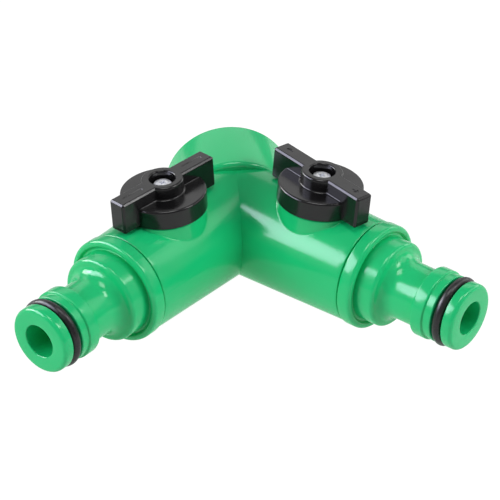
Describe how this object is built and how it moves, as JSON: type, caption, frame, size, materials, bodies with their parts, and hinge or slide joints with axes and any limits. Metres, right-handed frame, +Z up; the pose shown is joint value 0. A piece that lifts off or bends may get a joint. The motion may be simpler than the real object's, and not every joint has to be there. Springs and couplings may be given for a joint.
{
  "type": "hose splitter",
  "caption": "Two-way garden hose splitter: a V-shaped plastic body with a threaded inlet socket, a winged quarter-turn ball valve on each arm and click-on nipple outlets.",
  "frame": {"origin": "bottom centre of the bounding box; the inlet axis is 16 mm above it and runs along +Y", "axes": "+Y out of the threaded inlet, +Z up through the knobs, +X to the right-hand arm as seen from the outlet side"},
  "size_m": [0.1118, 0.0708, 0.0384],
  "materials": {
    "green_plastic": "smooth moulded green, semi-gloss",
    "black_plastic": "moulded black, satin",
    "black_rubber": "black rubber, slightly greased",
    "white_acetal": "plain white engineering plastic",
    "zinc_steel": "bright zinc plated"
  },
  "bodies": {
    "body": {"splitter_body": "green_plastic", "inlet_washer": "black_rubber", "left_outlet_connector": "green_plastic", "left_outlet_o_ring": "black_rubber", "left_connector_seal": "black_rubber", "left_inner_seat": "white_acetal", "left_outer_seat": "white_acetal", "right_outlet_connector": "green_plastic", "right_outlet_o_ring": "black_rubber", "right_connector_seal": "black_rubber", "right_inner_seat": "white_acetal", "right_outer_seat": "white_acetal"},
    "left_valve": {"left_ball": "white_acetal", "left_stem": "white_acetal", "left_stem_o_ring": "black_rubber", "left_knob": "black_plastic", "left_knob_screw": "zinc_steel"},
    "right_valve": {"right_ball": "white_acetal", "right_stem": "white_acetal", "right_stem_o_ring": "black_rubber", "right_knob": "black_plastic", "right_knob_screw": "zinc_steel"}
  },
  "joints": [
    {"name": "left_valve_turn", "type": "hinge", "parent": "body", "child": "left_valve", "pos_m": [-0.01782, 0.00268, 0.016], "axis": [-0.065, 0.0262, 0.9975], "range_deg": [-83.5, 6.5]},
    {"name": "right_valve_turn", "type": "hinge", "parent": "body", "child": "right_valve", "pos_m": [0.01782, 0.00268, 0.016], "axis": [0.065, 0.0262, 0.9975], "range_deg": [-80, 10]}
  ]
}
